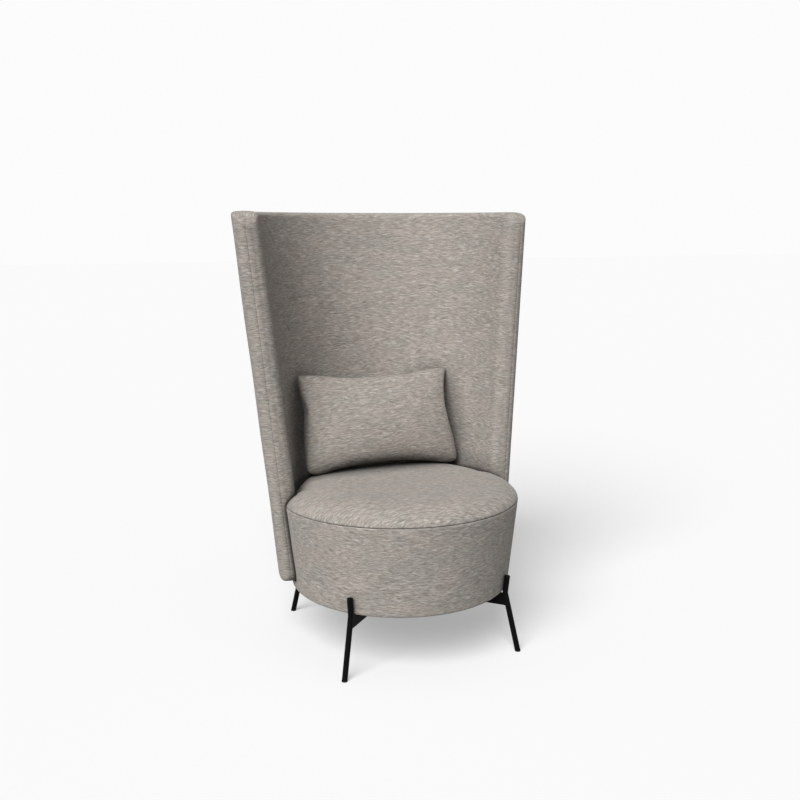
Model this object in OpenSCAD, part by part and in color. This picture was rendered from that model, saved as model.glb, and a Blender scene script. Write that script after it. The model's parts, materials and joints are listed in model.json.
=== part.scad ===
// High-backed lounge chair: a round upholstered drum seat, a tall padded shell that wraps
// round the sitter, four bent rod legs on a cross of flat bars, and a loose lumbar cushion.
// The front of the chair faces -Y and it stands on z = 0.

/* [Seat drum] */
// Radius of the seat at the seam under its rounded edge
seat_r = 350; // [320:1:370]
// Height of the seam above the floor at the middle of the seat
seam_h = 425; // [405:1:460]
// Rise of the crown above the seam
crown_rise = 53; // [30:1:62]
// Fall of the seat towards the back, in degrees
seat_pitch = 1.5; // [0:0.1:3]
// Height of the drum's underside above the floor
drum_base_h = 173; // [140:1:200]
// How far the drum's wall draws in from the seam to the underside
drum_draw_in = 26.5; // [10:0.5:40]
// Thickness of the cover fabric
fabric_t = 1.5; // [1:0.1:2.5]
// Thickness of the foam round the side of the drum
side_foam_t = 10; // [5:0.5:15]
// Thickness of the fibreboard wrapped round the seat frame
side_board_t = 3; // [2:0.5:5]
// Thickness of the wadding under the seat's top cover
wadding_t = 10; // [5:0.5:16]

/* [Seat frame] */
// Thickness of the round base board
base_board_t = 15; // [12:1:21]
// Thickness of the ring that carries the webbing
ring_t = 15; // [12:1:21]
// Depth of the seat foam from the seam down to the ring
seat_foam_h = 59; // [45:1:80]
// Width of the ring, from its outer edge to its hole
ring_w = 81; // [60:1:110]
// Width of each post between board and ring
post_w = 44; // [30:1:60]
// Depth of the posts, inwards from the side board
post_depth = 73; // [60:1:95]
// Width of a webbing strap
strap_w = 60; // [40:1:70]
// Thickness of a webbing strap
strap_t = 2; // [1:0.5:3]

/* [Back shell] */
// Height of the shell's top above the floor
back_top_h = 1260; // [1000:5:1400]
// Height of the shell's lower edge above the drum's underside
back_base_rise = 25; // [12:1:40]
// How far the shell stands out round the seat, where its axis crosses the drum's
back_stand_out = 28.5; // [24:0.5:40]
// Depth below the seam at which the two axes cross
axis_drop = 75; // [50:1:100]
// Outward flare of the shell, in degrees
back_flare = 5.2; // [3:0.1:7]
// Backward lean of the shell's axis, in degrees
back_lean = 4.2; // [2:0.1:6]
// Angle that the shell wraps round the seat, in degrees
back_wrap_angle = 177; // [150:1:184]
// Thickness of the padded shell
back_t = 75; // [66:1:84]
// Thickness of the bent plywood inside the shell
ply_t = 12; // [9:1:15]
// Depth of the foam on the outer side of the plywood
outer_foam_t = 24; // [18:0.5:26]
// Rounding of the shell's front ends
tip_r = 28; // [18:1:32]
// Rounding of the shell's top and lower edges
rim_r = 13; // [6:1:16]
// Rounding of the shell's upper front corners, seen from the side
corner_r = 40; // [30:1:60]
// Rounding of the shell's lower front corners, seen from the side
low_corner_r = 26; // [25:1:40]

/* [Legs] */
// Radius of the leg rod
rod_r = 8; // [7:0.5:10]
// How far the feet stand out from the seat's radius
foot_stand_out = 25; // [0:1:60]
// Rise of a front leg's pin above the drum's underside
pin_rise = 52; // [30:1:80]
// Gap between a pin and the drum's cover
pin_gap = 2; // [1:0.5:4]
// Depth of a cross bar
bar_h = 36; // [25:1:45]
// Thickness of a cross bar
bar_t = 5; // [4:0.5:8]
// Thickness of a fixing tab
tab_t = 4; // [3:0.5:6]
// Length of a fixing tab along its bar
tab_l = 46; // [36:1:60]
// Width of a fixing tab across its bar
tab_w = 56; // [52:1:70]
// Radius at which the tabs are welded to the bars
tab_circle_r = 195; // [150:1:205]
// Height of a foot glide
glide_h = 3; // [2:0.5:5]

/* [Fasteners] */
// Radius of a frame screw's shank
screw_r = 3; // [2.5:0.5:4]
// Radius of a back bolt's shank
bolt_r = 4; // [3:0.5:5]

/* [Lumbar cushion] */
// Width of the cushion between its side points
cushion_w = 496; // [420:4:540]
// Height of the cushion between its upper and lower points
cushion_h = 318; // [260:2:380]
// Thickness of the cushion at its middle
cushion_t = 128; // [90:1:150]
// How far the middle of each side is drawn in
cushion_pinch = 20; // [5:1:30]
// Backward lean of the cushion, in degrees
cushion_lean = 20; // [8:0.5:26]
// How far the cushion lies from the middle towards the sitter's left
cushion_aside = 8; // [-20:1:20]

/* [Hidden] */

fabric = [0.62, 0.59, 0.56];
foam = [0.86, 0.82, 0.68];
wadding = [0.93, 0.93, 0.9];
plywood = [0.8, 0.64, 0.42];
fibreboard = [0.55, 0.42, 0.29];
black_steel = [0.06, 0.06, 0.06];
zinc = [0.7, 0.71, 0.73];
black_cloth = [0.1, 0.1, 0.1];
strap_grey = [0.3, 0.3, 0.28];

// Overrun of every cut past the face that it leaves
cut = 1;
// Clearance round a piece that passes through another
pass_gap = 0.3;
// Clearance between two layers that lie on each other, and between a rod and a bar welded to it
lay_gap = 0.25;
weld_gap = 0.1;
// Clearance between the seat and the padded shell that it is nested into
nest_gap = 0.6;
// Clearance under and behind the loose cushion
rest_gap = 0.6;
// Facets round a full circle
round_facets = 96;
// Facets round a rod, a screw or a bore
rod_facets = 40;
// Steps of the crown's profile from its seam to its middle
crown_steps = 14;

// Heights and radii that follow from the driving sizes
drum_base_r = seat_r - drum_draw_in;
ring_top_h = seam_h - seat_foam_h;
back_base_h = drum_base_h + back_base_rise;
back_r = seat_r + back_stand_out;
back_axis_h = seam_h - axis_drop;
foot_circle_r = seat_r + foot_stand_out;
// Taper of the drum: radius gained for each unit of height
drum_taper = (seat_r - drum_base_r) / (seam_h - drum_base_h);
function drum_wall_r(high) = drum_base_r + drum_taper * (high - drum_base_h);
dust_t = fabric_t;
board_low_h = drum_base_h + dust_t;
board_top_h = board_low_h + base_board_t;
ring_low_h = ring_top_h - ring_t;
// Depth of the cover and the side foam, then of the side board as well
foam_in = fabric_t + side_foam_t;
frame_in = foam_in + side_board_t;
ring_hole_r = drum_wall_r(ring_top_h) - frame_in - ring_w;
post_inner_r = drum_wall_r(ring_top_h) - frame_in - post_depth;
foam_low_h = ring_top_h + 2 * strap_t;
// Width of the side cover's hem, stapled under the board
hem_w = 38;
// Powers of the crown's profile: how flat it is at the middle, how steep at the seam
fullness = 6.5;
shoulder = 1.65;

// Height of the crown above the seam plane at a radius, for a crown of a given size
function crown_at(r, out_r, rise) = rise * pow(max(0, 1 - pow(r / out_r, fullness)), 1 / shoulder);

// Back shell: half of its wrap, and the numbers of steps in its rounded ends, edges and sheet
half_wrap = back_wrap_angle / 2;
tip_steps = 4;
rim_steps = 3;
main_steps = 34;
flare = tan(back_flare);
// Depth of the foam pads under the cover, of the plywood's two faces and of the plane where the
// two pads meet beyond the plywood's edge, which is deeper than the rounding of the front ends
pad_in = fabric_t + lay_gap;
outer_in = fabric_t + outer_foam_t;
ply_in = outer_in + ply_t;
part_in = max(outer_in + ply_t / 2, tip_r + rim_r / 4);
mean_r = back_r - back_t / 2;
function to_swing(run) = run / mean_r * 180 / PI;

// Distance along the shell's axis of the point at a swing from the rear, a depth and a height
function along(swing, depth, high) =
    (high - back_axis_h + (back_r - depth) * cos(swing) * sin(back_lean))
    / (cos(back_lean) - flare * cos(swing) * sin(back_lean));
// Point of the shell at a swing from the rear, a depth in from its outer face and a height
function shell_point(swing, depth, high) =
    let (s = along(swing, depth, high), r = back_r - depth + flare * s)
    [r * sin(swing), r * cos(swing) * cos(back_lean) + s * sin(back_lean), high];

// Columns of a layer that lies a depth w under the cover: [swing, run from the tip, rounding]
function tip_columns(w) = [for (k = [0:tip_steps])
    let (turn = 90 * k / tip_steps, run = w + (tip_r - w) * (1 - cos(turn)))
    [half_wrap - to_swing(run), run, (tip_r - w) * (1 - sin(turn))]];
main_half = half_wrap - to_swing(tip_r);
function columns(w) = concat(
    [for (c = tip_columns(w)) [-c[0], c[1], c[2]]],
    [for (k = [1:main_steps - 1])
        let (swing = main_half * (2 * k / main_steps - 1))
        [swing, tip_r + (main_half - abs(swing)) / to_swing(1), 0]],
    [for (k = [tip_steps:-1:0]) tip_columns(w)[k]]);
// Rows of a layer: [0 at the lower edge or 1 at the top, distance from that edge, rounding]
function rim_rows(w) = [for (k = [0:rim_steps])
    let (turn = 90 * k / rim_steps)
    [w + (rim_r - w) * (1 - cos(turn)), (rim_r - w) * (1 - sin(turn))]];
function rows(w) = concat(
    [for (q = rim_rows(w)) [0, q[0], q[1]]],
    [for (k = [rim_steps:-1:0]) [1, rim_rows(w)[k][0], rim_rows(w)[k][1]]]);
// Distance by which a rounded front corner has drawn the edge in at a run from the tip
function corner_drop(w, run, r) = run < r ? r - w - sqrt(max(0, pow(r - w, 2) - pow(r - run, 2))) : 0;
function row_height(w, c, q) = q[0] == 0
    ? back_base_h + corner_drop(w, c[1], low_corner_r) + q[1]
    : back_top_h - corner_drop(w, c[1], corner_r) - q[1];
function rounding(w, c, q) = w + norm([c[2], q[2]]);
function is_plate(c, q) = c[2] < pass_gap / 100 && q[2] < pass_gap / 100;

// Outer face, inner face and inner face turned over the rim, for a layer at depth w
function outer_sheet(w) = [for (c = columns(w)) [for (q = rows(w))
    shell_point(c[0], rounding(w, c, q), row_height(w, c, q))]];
function inner_sheet(w) = [for (c = columns(w)) [for (q = rows(w))
    shell_point(c[0], back_t - rounding(w, c, q), row_height(w, c, q))]];
function wrap_sheet(w) =
    let (cs = columns(w), qs = rows(w), nc = len(cs) - 1, nq = len(qs) - 1)
    [for (i = [-1:nc + 1]) [for (j = [-1:nq + 1])
        let (c = cs[max(0, min(nc, i))], q = qs[max(0, min(nq, j))], turned = rounding(w, c, q))
        shell_point(c[0], i < 0 || i > nc || j < 0 || j > nq ? turned : back_t - turned,
            row_height(w, c, q))]];
// Face of a foam pad towards the plywood: at the plywood's face, and beyond its edge at the
// plane where the two pads meet
function ply_side_sheet(w, face_in) = [for (c = columns(w)) [for (q = rows(w))
    shell_point(c[0], is_plate(c, q) ? face_in : part_in, row_height(w, c, q))]];
function plate_sheet(face_in) =
    [for (c = columns(pad_in)) if (c[2] < pass_gap / 100)
        [for (q = rows(pad_in)) if (q[2] < pass_gap / 100)
            shell_point(c[0], face_in, row_height(pad_in, c, q))]];

// Closed solid between two sheets of points with the same number of columns and rows
module between(front, back) {
    nc = len(front);
    nq = len(front[0]);
    n = nc * nq;
    polyhedron(
        points = [for (sheet = [front, back]) for (c = sheet) each c],
        faces = concat(
            [for (i = [0:nc - 2]) for (j = [0:nq - 2]) let (a = i * nq + j, b = a + nq)
                each [[a, a + 1, b], [b, a + 1, b + 1]]],
            [for (i = [0:nc - 2]) for (j = [0:nq - 2]) let (a = n + i * nq + j, b = a + nq)
                each [[a, b, a + 1], [b, b + 1, a + 1]]],
            [for (i = [0:nc - 2]) for (e = [0, nq - 1]) let (a = i * nq + e, b = a + nq)
                each e == 0 ? [[a, b, a + n], [b, b + n, a + n]] : [[a, a + n, b], [b, a + n, b + n]]],
            [for (j = [0:nq - 2]) for (e = [0, nc - 1]) let (a = e * nq + j, b = a + 1)
                each e == 0 ? [[a, a + n, b], [b, a + n, b + n]] : [[a, b, a + n], [b, b + n, a + n]]]),
        convexity = 10);
}

// Middle of the whole chair from front to back, which is set over the origin
box_front_y = -seat_r / (1 - drum_taper * tan(seat_pitch));
box_back_y = max([for (q = rows(0)) shell_point(0, q[2], row_height(0, [0, seat_r, 0], q))[1]]);
box_mid_y = (box_front_y + box_back_y) / 2;
module placed() {
    translate([0, -box_mid_y, 0]) children();
}

// Loose cushion
cushion_columns = 8;
cushion_rows = 6;
// Fullness of the cushion's swell: a smaller power gives a fuller edge
puff = 0.5;
edge_half_t = fabric_t;
function cushion_sheet(side, out) = [for (i = [-cushion_columns:cushion_columns])
    [for (j = [-cushion_rows:cushion_rows])
        let (u = sin(90 * i / cushion_columns), v = sin(90 * j / cushion_rows),
            swell = pow(max(0, (1 - u * u) * (1 - v * v)), puff))
        [u * (cushion_w / 2 - cushion_pinch * (1 - v * v)),
            side * (out + (cushion_t / 2 - edge_half_t) * swell),
            v * (cushion_h / 2 - cushion_pinch * (1 - u * u))]]];
function trimmed(sheet) = [for (i = [1:len(sheet) - 2]) [for (j = [1:len(sheet[0]) - 2]) sheet[i][j]]];
// The cushion's points leaned back about its middle
function leaned(p) = [p[0], p[1] * cos(cushion_lean) + p[2] * sin(cushion_lean),
    p[2] * cos(cushion_lean) - p[1] * sin(cushion_lean)];
cushion_cloud = [for (side = [-1, 1]) for (c = cushion_sheet(side, edge_half_t)) for (p = c)
    leaned(p) + [cushion_aside, 0, 0]];
// Height of the seat's top over a plan point, and the shell's inner face behind a point
function seat_top_at(x, y) =
    let (r = norm([x, y]))
    seam_h - y * tan(seat_pitch) + (r < seat_r ? crown_at(r, seat_r, crown_rise) : -crown_rise);
function shell_inner_y(x, high, s, tries) =
    let (r = back_r - back_t + flare * s,
        y = (sqrt(max(0, r * r - x * x)) + (high - back_axis_h) * sin(back_lean)) / cos(back_lean))
    tries == 0 ? y : shell_inner_y(x, high, y * sin(back_lean) + (high - back_axis_h) * cos(back_lean), tries - 1);
settle_tries = 3;
// The cushion is pushed back until it meets the shell, then lowered until it meets the seat
cushion_guess_h = seam_h + crown_rise + cushion_h / 2;
function push_back(high) = min([for (p = cushion_cloud)
    shell_inner_y(p[0], p[2] + high, high - back_axis_h, settle_tries) - p[1]]) - rest_gap;
function settle(back) = max([for (p = cushion_cloud) seat_top_at(p[0], p[1] + back) - p[2]]) + rest_gap;
cushion_mid_h = settle(push_back(settle(push_back(cushion_guess_h))));
cushion_mid_y = push_back(cushion_mid_h);
module in_place() {
    placed() translate([cushion_aside, cushion_mid_y, cushion_mid_h])
        rotate([-cushion_lean, 0, 0]) children();
}

// Space that the padded shell takes, with its nesting clearance
module back_room() {
    reach = back_r + seat_r;
    low = back_base_h - back_axis_h - seat_r;
    high = seat_r;
    inner_r = back_r - back_t - nest_gap;
    wrap = back_wrap_angle + 2 * to_swing(nest_gap);
    intersection() {
        translate([0, 0, back_axis_h])
            rotate([-back_lean, 0, 0])
                rotate([0, 0, 90 - wrap / 2])
                    rotate_extrude(angle = wrap, $fn = round_facets)
                        polygon([[inner_r + flare * low, low], [reach, low],
                            [reach, high], [inner_r + flare * high, high]]);
        translate([-reach, -reach, back_base_h - nest_gap])
            cube([2 * reach, 2 * reach, back_axis_h + seat_r]);
    }
}

// Frame whose origin is on the shell's outer face, with +Y along the outward normal
module on_shell(swing, s) {
    translate([0, 0, back_axis_h])
        rotate([-back_lean, 0, 0])
            rotate([0, 0, -swing])
                translate([0, back_r + flare * s, s])
                    rotate([-back_flare, 0, 0])
                        children();
}
// Round bar in that frame, from one depth to a deeper one
module deep_bar(r, from, to) {
    translate([0, -from, 0])
        rotate([90, 0, 0])
            cylinder(r = r, h = to - from, $fn = rod_facets);
}
// Turn of the side posts, and so of the side bolts, from the middle ones
post_angle = 58;
bolt_swings = [-post_angle, 0, post_angle];
bolt_grip = back_t + post_depth / 2;
bolt_head_r = 1.8 * bolt_r;
bolt_head_t = 1.2 * bolt_r;
// Thickness of a tee nut's flange
tee_flange_t = 1.5;
tee_flange_r = 2.6 * bolt_r;
tee_barrel_r = 1.3 * bolt_r;
// Depth of the face in the plywood on which a back tee nut's flange sits, sunk clear of the foam
tee_seat = outer_in + 3 * pass_gap + tee_flange_t;
spacer_r = 2 * bolt_r;
// Lowest and highest place of a bolt along the shell's axis, from where it crosses the drum's
bolt_low_s = back_base_h - back_axis_h + back_r * sin(back_lean) + 3 * tee_flange_r;
bolt_high_s = ring_low_h - back_axis_h - 3 * bolt_head_r;
// Bolts one above the other on a post, as many as the height between those places takes
bolt_gaps = max(0, floor((bolt_high_s - bolt_low_s) / (6 * bolt_head_r)));
bolt_pitch = (bolt_high_s - bolt_low_s) / max(1, bolt_gaps);
module each_bolt() {
    for (swing = bolt_swings)
        for (k = [0:bolt_gaps])
            on_shell(swing, bolt_high_s - k * bolt_pitch) children();
}

// Legs, a quarter turn apart
leg_angle = 45;
bend_h = drum_base_h - pass_gap;
pin_in_r = rod_r + pin_gap;
pin_tilt = atan(drum_taper);
// Swelling of the rod at its bend
bend_swell = 0.1;
bend_r = drum_wall_r(bend_h) + pin_in_r;
leg_splay = atan((foot_circle_r - bend_r) / bend_h);
glide_lip = 0.5;
glide_r = rod_r + glide_lip;
spigot_r = rod_r / 2;
spigot_l = 2 * rod_r;
bar_top_h = board_low_h - tab_t;
bar_low_h = bar_top_h - bar_h;
rear_stub_h = back_base_h - pass_gap - rod_r * sin(pin_tilt);
front_pin_h = drum_base_h + pin_rise;
// Turns from the front, which faces -Y, to each leg
front_left = leg_angle;
front_right = -leg_angle;
rear_left = 180 - leg_angle;
rear_right = leg_angle - 180;
module at_turn(turn) {
    placed() rotate([0, 0, turn]) children();
}
// Rod of the lower leg, from below the floor to the bend, with its own +Z up the rod
module on_leg_rod() {
    translate([0, -foot_circle_r, 0]) rotate([-leg_splay, 0, 0]) children();
}
module lower_rod(r, under) {
    on_leg_rod() translate([0, 0, -under])
        cylinder(r = r, h = bend_h / cos(leg_splay) + under, $fn = rod_facets);
}
// One bent rod: the splayed leg, the bend under the drum's edge and the pin above it
module leg(pin_top_h, tilt) {
    pin_l = (pin_top_h - bend_h) / cos(tilt);
    difference() {
        union() {
            lower_rod(rod_r, bend_h / 4);
            translate([0, -bend_r, bend_h]) {
                sphere(r = rod_r / cos((leg_splay + tilt) / 2) + bend_swell, $fn = rod_facets);
                rotate([tilt, 0, 0])
                    rotate_extrude($fn = rod_facets)
                        polygon([[0, 0], [rod_r, 0], [rod_r, pin_l - cut], [rod_r - cut, pin_l], [0, pin_l]]);
            }
        }
        translate([-2 * foot_circle_r, -2 * foot_circle_r, glide_h - bend_h])
            cube([4 * foot_circle_r, 4 * foot_circle_r, bend_h]);
        on_leg_rod() cylinder(r = spigot_r, h = glide_h + spigot_l + cut, $fn = rod_facets);
    }
}
module glide() {
    translate([0, -foot_circle_r + (glide_h / 2) * tan(leg_splay), 0])
        cylinder(r = glide_r, h = glide_h, $fn = rod_facets);
    difference() {
        on_leg_rod() cylinder(r = spigot_r, h = glide_h + spigot_l, $fn = rod_facets);
        translate([-2 * foot_circle_r, -2 * foot_circle_r, glide_h - bend_h])
            cube([4 * foot_circle_r, 4 * foot_circle_r, bend_h - glide_h / 2]);
    }
}

module leg_front_left() { color(black_steel) at_turn(front_left) leg(front_pin_h, pin_tilt); }
module leg_front_right() { color(black_steel) at_turn(front_right) leg(front_pin_h, pin_tilt); }
module leg_rear_left() { color(black_steel) at_turn(rear_left) leg(rear_stub_h, pin_tilt); }
module leg_rear_right() { color(black_steel) at_turn(rear_right) leg(rear_stub_h, pin_tilt); }
module glide_front_left() { color(black_steel) at_turn(front_left) glide(); }
module glide_front_right() { color(black_steel) at_turn(front_right) glide(); }
module glide_rear_left() { color(black_steel) at_turn(rear_left) glide(); }
module glide_rear_right() { color(black_steel) at_turn(rear_right) glide(); }

// Flat bar on edge from one leg to the opposite one, halved at the middle where the two cross
module cross_bar(slot_low_h) {
    difference() {
        translate([-bar_t / 2, -foot_circle_r, bar_low_h])
            cube([bar_t, 2 * foot_circle_r, bar_h]);
        translate([-bar_t / 2 - cut, -bar_t / 2, slot_low_h])
            cube([bar_t + 2 * cut, bar_t, bar_h / 2 + cut]);
        for (turn = [0, 180])
            rotate([0, 0, turn]) {
                lower_rod(rod_r + weld_gap, cut);
                on_leg_rod() translate([-foot_circle_r, -2 * foot_circle_r, -foot_circle_r])
                    cube([2 * foot_circle_r, 2 * foot_circle_r, 3 * foot_circle_r]);
            }
    }
}
module cross_bar_under() {
    color(black_steel) at_turn(front_left) cross_bar(bar_low_h + bar_h / 2);
}
module cross_bar_over() {
    color(black_steel) at_turn(front_right) cross_bar(bar_low_h - cut);
}

// Fixing tab across the top of a bar, with a screw on each side of the bar
screw_off = tab_w / 2 - 3.4 * screw_r;
module tab() {
    difference() {
        translate([-tab_w / 2, -tab_circle_r - tab_l / 2, bar_top_h])
            cube([tab_w, tab_l, tab_t]);
        for (side = [-1, 1])
            translate([side * screw_off, -tab_circle_r, bar_top_h - cut])
                cylinder(r = screw_r + pass_gap, h = tab_t + 2 * cut, $fn = rod_facets);
    }
}
module tab_front_left() { color(black_steel) at_turn(front_left) tab(); }
module tab_front_right() { color(black_steel) at_turn(front_right) tab(); }
module tab_rear_left() { color(black_steel) at_turn(rear_left) tab(); }
module tab_rear_right() { color(black_steel) at_turn(rear_right) tab(); }

// Frame screws and the tee nuts that they run into
screw_head_r = 2 * screw_r;
screw_head_t = 1.2 * screw_r;
screw_barrel_r = 1.4 * screw_r;
screw_flange_r = 3 * screw_r;
module each_screw() {
    for (turn = [front_left, front_right, rear_left, rear_right])
        for (side = [-1, 1])
            rotate([0, 0, turn]) translate([side * screw_off, -tab_circle_r, 0]) children();
}
module frame_screws() {
    color(zinc) placed() each_screw() {
        translate([0, 0, bar_top_h - screw_head_t])
            cylinder(r1 = screw_head_r * 0.8, r2 = screw_head_r, h = screw_head_t, $fn = rod_facets);
        translate([0, 0, bar_top_h - cut])
            cylinder(r = screw_r, h = tab_t + base_board_t + cut, $fn = rod_facets);
    }
}
module frame_tee_nuts() {
    color(zinc) placed() each_screw() difference() {
        union() {
            translate([0, 0, board_low_h + base_board_t / 4])
                cylinder(r = screw_barrel_r, h = base_board_t * 3 / 4, $fn = rod_facets);
            translate([0, 0, board_top_h])
                cylinder(r = screw_flange_r, h = tee_flange_t, $fn = rod_facets);
        }
        translate([0, 0, board_low_h])
            cylinder(r = screw_r, h = base_board_t + tee_flange_t + cut, $fn = rod_facets);
    }
}

// Part of the drum's tapered body that lies a depth under its surface, between two heights
module drum_slice(depth, low, high) {
    translate([0, 0, low])
        cylinder(r1 = drum_wall_r(low) - depth, r2 = drum_wall_r(high) - depth, h = high - low,
            $fn = round_facets);
}
module seat_base_board() {
    color(plywood) placed() difference() {
        drum_slice(frame_in + lay_gap, board_low_h, board_top_h);
        back_room();
        each_screw() translate([0, 0, board_low_h - cut])
            cylinder(r = screw_barrel_r, h = base_board_t + 2 * cut, $fn = rod_facets);
    }
}
module seat_ring() {
    color(plywood) placed() difference() {
        drum_slice(frame_in + lay_gap, ring_low_h, ring_top_h);
        back_room();
        translate([0, 0, ring_low_h - cut])
            cylinder(r = ring_hole_r, h = ring_t + 2 * cut, $fn = round_facets);
    }
}

// Timber post between board and ring: its outer face follows the side board or the shell
module post(turn, bolted) {
    color(plywood) placed() difference() {
        intersection() {
            rotate([0, 0, turn])
                translate([-post_w / 2, -2 * post_inner_r, board_top_h])
                    cube([post_w, post_inner_r, ring_low_h - board_top_h]);
            drum_slice(frame_in + lay_gap, board_low_h, ring_top_h);
        }
        back_room();
        if (bolted) each_bolt() {
            deep_bar(bolt_r + pass_gap, back_t / 2, bolt_grip + cut);
            deep_bar(bolt_head_r + pass_gap, bolt_grip, bolt_grip + back_t);
        }
    }
}
module post_rear_middle() { post(180, true); }
module post_rear_left() { post(180 - post_angle, true); }
module post_front_left() { post(post_angle, false); }
module post_front_middle() { post(0, false); }
module post_front_right() { post(-post_angle, false); }
module post_rear_right() { post(post_angle - 180, true); }

// Half-space above the tilted plane of the seam
module above_seam() {
    reach = 2 * seat_r;
    translate([0, 0, seam_h])
        rotate([-seat_pitch, 0, 0])
            translate([-reach, -reach, 0])
                cube([2 * reach, 2 * reach, reach]);
}
// Fibreboard wrapped round the board and the ring
module seat_side_board() {
    color(fibreboard) placed() difference() {
        drum_slice(foam_in + lay_gap, board_low_h, ring_top_h);
        drum_slice(frame_in, board_low_h - cut, ring_top_h + cut);
        back_room();
    }
}
module seat_side_foam() {
    color(foam) placed() difference() {
        drum_slice(fabric_t + lay_gap, board_low_h, seam_h + seat_r / 8);
        drum_slice(foam_in, board_low_h - cut, seam_h + seat_r / 4);
        above_seam();
        back_room();
    }
}
module seat_side_cover() {
    color(fabric) placed() difference() {
        drum_slice(0, drum_base_h, seam_h + seat_r / 8);
        drum_slice(fabric_t, board_low_h, seam_h + seat_r / 4);
        translate([0, 0, drum_base_h - cut])
            cylinder(r = drum_base_r - hem_w, h = dust_t + 2 * cut, $fn = round_facets);
        above_seam();
        back_room();
    }
}
module seat_dust_cover() {
    color(black_cloth) placed() difference() {
        translate([0, 0, drum_base_h])
            cylinder(r = drum_base_r - hem_w, h = dust_t, $fn = round_facets);
        for (turn = [front_left, front_right, rear_left, rear_right])
            rotate([0, 0, turn])
                translate([-tab_w / 2 - pass_gap, -tab_circle_r - tab_l / 2 - pass_gap, drum_base_h - cut])
                    cube([tab_w + 2 * pass_gap, tab_l + 2 * pass_gap, dust_t + 2 * cut]);
    }
}

// Elastic webbing: four straps across and four lengthwise, stapled to the ring
strap_pitch = strap_w * 1.75;
strap_reach_r = ring_hole_r + strap_w * 0.7;
module straps(low_h) {
    intersection() {
        translate([0, 0, low_h]) cylinder(r = strap_reach_r, h = strap_t, $fn = round_facets);
        for (k = [-1.5:1.5])
            translate([-seat_r, k * strap_pitch - strap_w / 2, low_h]) cube([2 * seat_r, strap_w, strap_t]);
    }
}
module webbing_across() { color(strap_grey) placed() straps(ring_top_h); }
module webbing_lengthwise() { color(strap_grey) placed() rotate([0, 0, 90]) straps(ring_top_h + strap_t); }

// Solid of the crowned seat top, a depth under its surface, in the seam's tilted plane, drawn in
// so that it stays inside the drum where the plane cuts the tapered wall lowest
crown_tuck = 2 * pass_gap + seat_r * tan(seat_pitch) * drum_taper;
module crown_body(depth, skirt) {
    out_r = seat_r - depth - crown_tuck;
    rise = crown_rise - depth;
    translate([0, 0, seam_h])
        rotate([-seat_pitch, 0, 0])
            rotate_extrude($fn = round_facets)
                polygon(concat([[0, -skirt], [out_r - drum_taper * skirt, -skirt]],
                    [for (k = [0:crown_steps])
                        let (r = out_r * sin(90 * (1 - k / crown_steps)))
                        [r, crown_at(r, out_r, rise)]]));
}
module seat_foam() {
    color(foam) placed() difference() {
        intersection() {
            union() {
                crown_body(fabric_t + wadding_t, cut);
                difference() {
                    drum_slice(foam_in + lay_gap, foam_low_h, seam_h + seat_r / 8);
                    above_seam();
                }
            }
            translate([0, 0, foam_low_h]) cylinder(r = seat_r, h = seat_r, $fn = round_facets);
        }
        back_room();
    }
}
module seat_wadding() {
    color(wadding) placed() difference() {
        crown_body(fabric_t, 0);
        crown_body(fabric_t + wadding_t, cut);
        back_room();
    }
}
module seat_top_cover() {
    color(fabric) placed() difference() {
        crown_body(0, 0);
        crown_body(fabric_t, cut);
        back_room();
    }
}

// Padded back shell
module back_plywood() {
    color(plywood) placed() difference() {
        between(plate_sheet(outer_in), plate_sheet(ply_in));
        each_bolt() {
            deep_bar(tee_barrel_r, outer_in - cut, ply_in + cut);
            deep_bar(tee_flange_r + pass_gap, outer_in - cut, tee_seat);
            deep_bar(spacer_r + pass_gap, ply_in, ply_in + cut);
        }
    }
}
module back_inner_foam() {
    color(foam) placed() difference() {
        between(ply_side_sheet(pad_in, ply_in), inner_sheet(pad_in));
        each_bolt() deep_bar(spacer_r + pass_gap, ply_in - cut, back_t + cut);
    }
}
module back_outer_foam() {
    color(foam) placed() between(outer_sheet(pad_in), ply_side_sheet(pad_in, outer_in));
}
module back_inner_cover() {
    color(fabric) placed() difference() {
        between(wrap_sheet(fabric_t), wrap_sheet(0));
        each_bolt() deep_bar(spacer_r + pass_gap, ply_in, back_t + cut);
    }
}
module back_outer_cover() {
    color(fabric) placed() between(outer_sheet(0), outer_sheet(fabric_t));
}
// Spacer tubes, bolts and tee nuts that hold the shell to the rear posts
module back_spacers() {
    color(zinc) placed() each_bolt() difference() {
        deep_bar(spacer_r, ply_in, back_t);
        deep_bar(bolt_r + pass_gap, ply_in - cut, back_t + cut);
    }
}
module back_bolts() {
    color(zinc) placed() each_bolt() {
        deep_bar(bolt_r, tee_seat, bolt_grip + cut / 2);
        deep_bar(bolt_head_r, bolt_grip, bolt_grip + bolt_head_t);
    }
}
module back_tee_nuts() {
    color(zinc) placed() each_bolt() difference() {
        union() {
            deep_bar(tee_flange_r, tee_seat - tee_flange_t, tee_seat);
            deep_bar(tee_barrel_r, tee_seat - tee_flange_t, ply_in - cut);
        }
        deep_bar(bolt_r, outer_in - cut, ply_in + cut);
    }
}

// Loose lumbar cushion: two sewn panels and a filling
module cushion_front_panel() {
    color(fabric) in_place() between(cushion_sheet(-1, 0), cushion_sheet(-1, edge_half_t));
}
module cushion_back_panel() {
    color(fabric) in_place() between(cushion_sheet(1, edge_half_t), cushion_sheet(1, 0));
}
module cushion_filling() {
    color(wadding) in_place() between(trimmed(cushion_sheet(1, 0)), trimmed(cushion_sheet(-1, 0)));
}

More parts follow.
